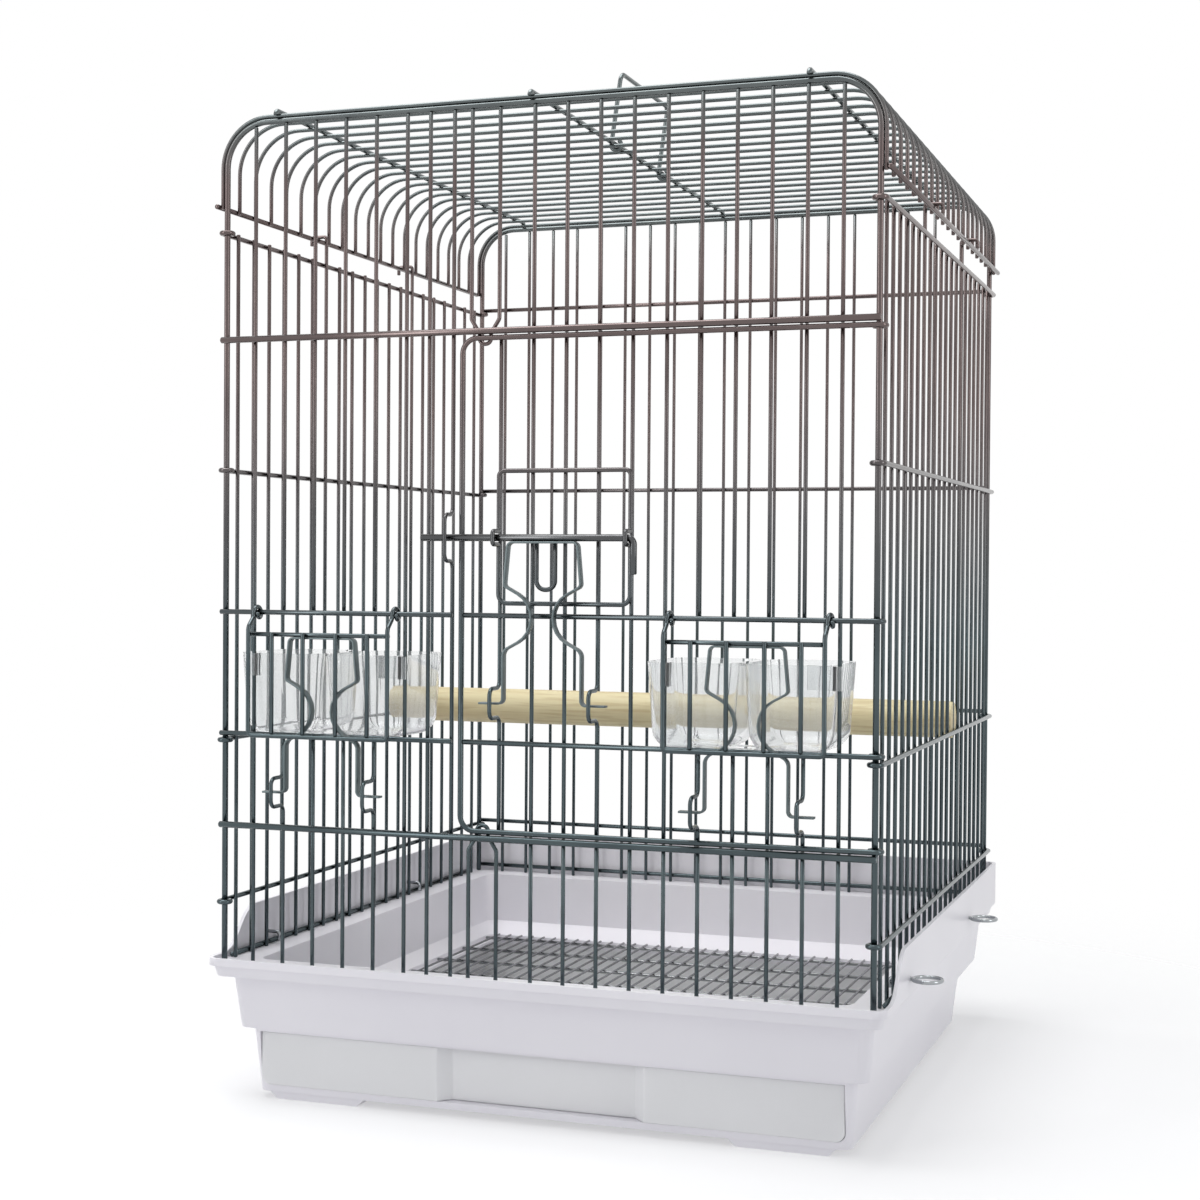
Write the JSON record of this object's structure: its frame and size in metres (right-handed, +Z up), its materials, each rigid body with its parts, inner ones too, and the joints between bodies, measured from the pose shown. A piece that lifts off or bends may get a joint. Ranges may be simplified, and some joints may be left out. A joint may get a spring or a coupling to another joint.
{
  "type": "bird cage",
  "caption": "Square wire bird cage with a bolted side-hung front door, swing-up feeder doors over clear cups, a wooden perch and a moulded base with floor grid and pull-out tray",
  "frame": {"origin": "on the floor under the middle of the object's plan, at the soles of the feet", "axes": "+Z up, the front with the door faces -Y, +X is the door's hinge side"},
  "size_m": [0.508, 0.4748, 0.7208],
  "materials": {
    "chromed_wire": "bright",
    "grid_wire": "bright",
    "spring_strip": "satin",
    "white_moulding": "gloss",
    "frosted_moulding": "satin",
    "clear_moulding": "clear",
    "perch_wood": "plain"
  },
  "bodies": {
    "cage": {"base_shell": "white_moulding", "front_frame": "chromed_wire", "front_uprights": "chromed_wire", "keeper_upright": "chromed_wire", "front_rails": "chromed_wire", "door_stop_upper": "chromed_wire", "door_stop_lower": "chromed_wire", "back_frame": "chromed_wire", "back_uprights": "chromed_wire", "back_rails": "chromed_wire", "left_side_rails": "chromed_wire", "right_side_rails": "chromed_wire", "left_side_wires": "chromed_wire", "right_side_wires": "chromed_wire", "roof_wires": "chromed_wire", "roof_edge_rails": "chromed_wire", "roof_rails": "chromed_wire"},
    "main_door": {"door_frame": "chromed_wire", "door_rails": "chromed_wire", "door_uprights": "chromed_wire", "latch_guide": "chromed_wire"},
    "bolt": {"latch_bolt": "chromed_wire", "bolt_pull_loop": "chromed_wire", "bolt_spring": "spring_strip"},
    "left_feeder_door": {"left_feeder_frame": "chromed_wire", "left_feeder_bars": "chromed_wire", "left_feeder_spring": "spring_strip"},
    "right_feeder_door": {"right_feeder_frame": "chromed_wire", "right_feeder_bars": "chromed_wire", "right_feeder_spring": "spring_strip"},
    "left_feed_cup": {"left_cup": "clear_moulding"},
    "right_feed_cup": {"right_cup": "clear_moulding"},
    "perch_dowel": {"perch": "perch_wood"},
    "tray": {"drawer_tray": "frosted_moulding"},
    "floor_grid": {"floor_grid_bars": "grid_wire", "floor_grid_wires": "grid_wire"},
    "handle": {"carry_handle": "chromed_wire"},
    "clip_front_left": {"base_clip_front_left": "chromed_wire"},
    "clip_back_left": {"base_clip_back_left": "chromed_wire"},
    "clip_front_right": {"base_clip_front_right": "chromed_wire"},
    "clip_back_right": {"base_clip_back_right": "chromed_wire"}
  },
  "joints": [
    {"name": "main_door_hinge", "type": "hinge", "parent": "cage", "child": "main_door", "pos_m": [0.223, -0.223, 0.35], "axis": [0, 0, 1], "range_deg": [0, 120]},
    {"name": "bolt_slide", "type": "slide", "parent": "main_door", "child": "bolt", "axis": [1, 0, 0], "range_m": [0, 0.024], "deforming": ["bolt_spring"]},
    {"name": "left_feeder_hinge", "type": "hinge", "parent": "cage", "child": "left_feeder_door", "pos_m": [-0.14495, -0.2271, 0.333], "axis": [-1, 0, 0], "range_deg": [0, 110], "deforming": ["left_feeder_spring"]},
    {"name": "right_feeder_hinge", "type": "hinge", "parent": "main_door", "child": "right_feeder_door", "pos_m": [0.14495, -0.2271, 0.333], "axis": [-1, 0, 0], "range_deg": [0, 110], "deforming": ["right_feeder_spring"]},
    {"name": "left_cup_lift", "type": "slide", "parent": "cage", "child": "left_feed_cup", "axis": [0, 0, 1], "range_m": [0, 0.015]},
    {"name": "right_cup_lift", "type": "slide", "parent": "main_door", "child": "right_feed_cup", "axis": [0, 0, 1], "range_m": [0, 0.015]},
    {"name": "perch_lift", "type": "slide", "parent": "cage", "child": "perch_dowel", "axis": [0, 0, 1], "range_m": [0, 0.1]},
    {"name": "tray_slide", "type": "slide", "parent": "cage", "child": "tray", "axis": [0, -1, 0], "range_m": [0, 0.33]},
    {"name": "floor_grid_lift", "type": "slide", "parent": "cage", "child": "floor_grid", "axis": [0, 0, 1], "range_m": [0, 0.03]},
    {"name": "handle_fold", "type": "hinge", "parent": "cage", "child": "handle", "pos_m": [-0.003, 0, 0.66816], "axis": [0, 1, 0], "range_deg": [-90, 75]},
    {"name": "clip_front_left_turn", "type": "hinge", "parent": "cage", "child": "clip_front_left", "pos_m": [-0.232, -0.15253, 0.1036], "axis": [-1, 0, 0], "range_deg": [0, 90]},
    {"name": "clip_front_right_turn", "type": "hinge", "parent": "cage", "child": "clip_front_right", "pos_m": [0.232, -0.15253, 0.1036], "axis": [1, 0, 0], "range_deg": [0, 90]},
    {"name": "clip_back_left_turn", "type": "hinge", "parent": "cage", "child": "clip_back_left", "pos_m": [-0.232, 0.08716, 0.1036], "axis": [-1, 0, 0], "range_deg": [0, 90]},
    {"name": "clip_back_right_turn", "type": "hinge", "parent": "cage", "child": "clip_back_right", "pos_m": [0.232, 0.08716, 0.1036], "axis": [1, 0, 0], "range_deg": [0, 90]}
  ]
}
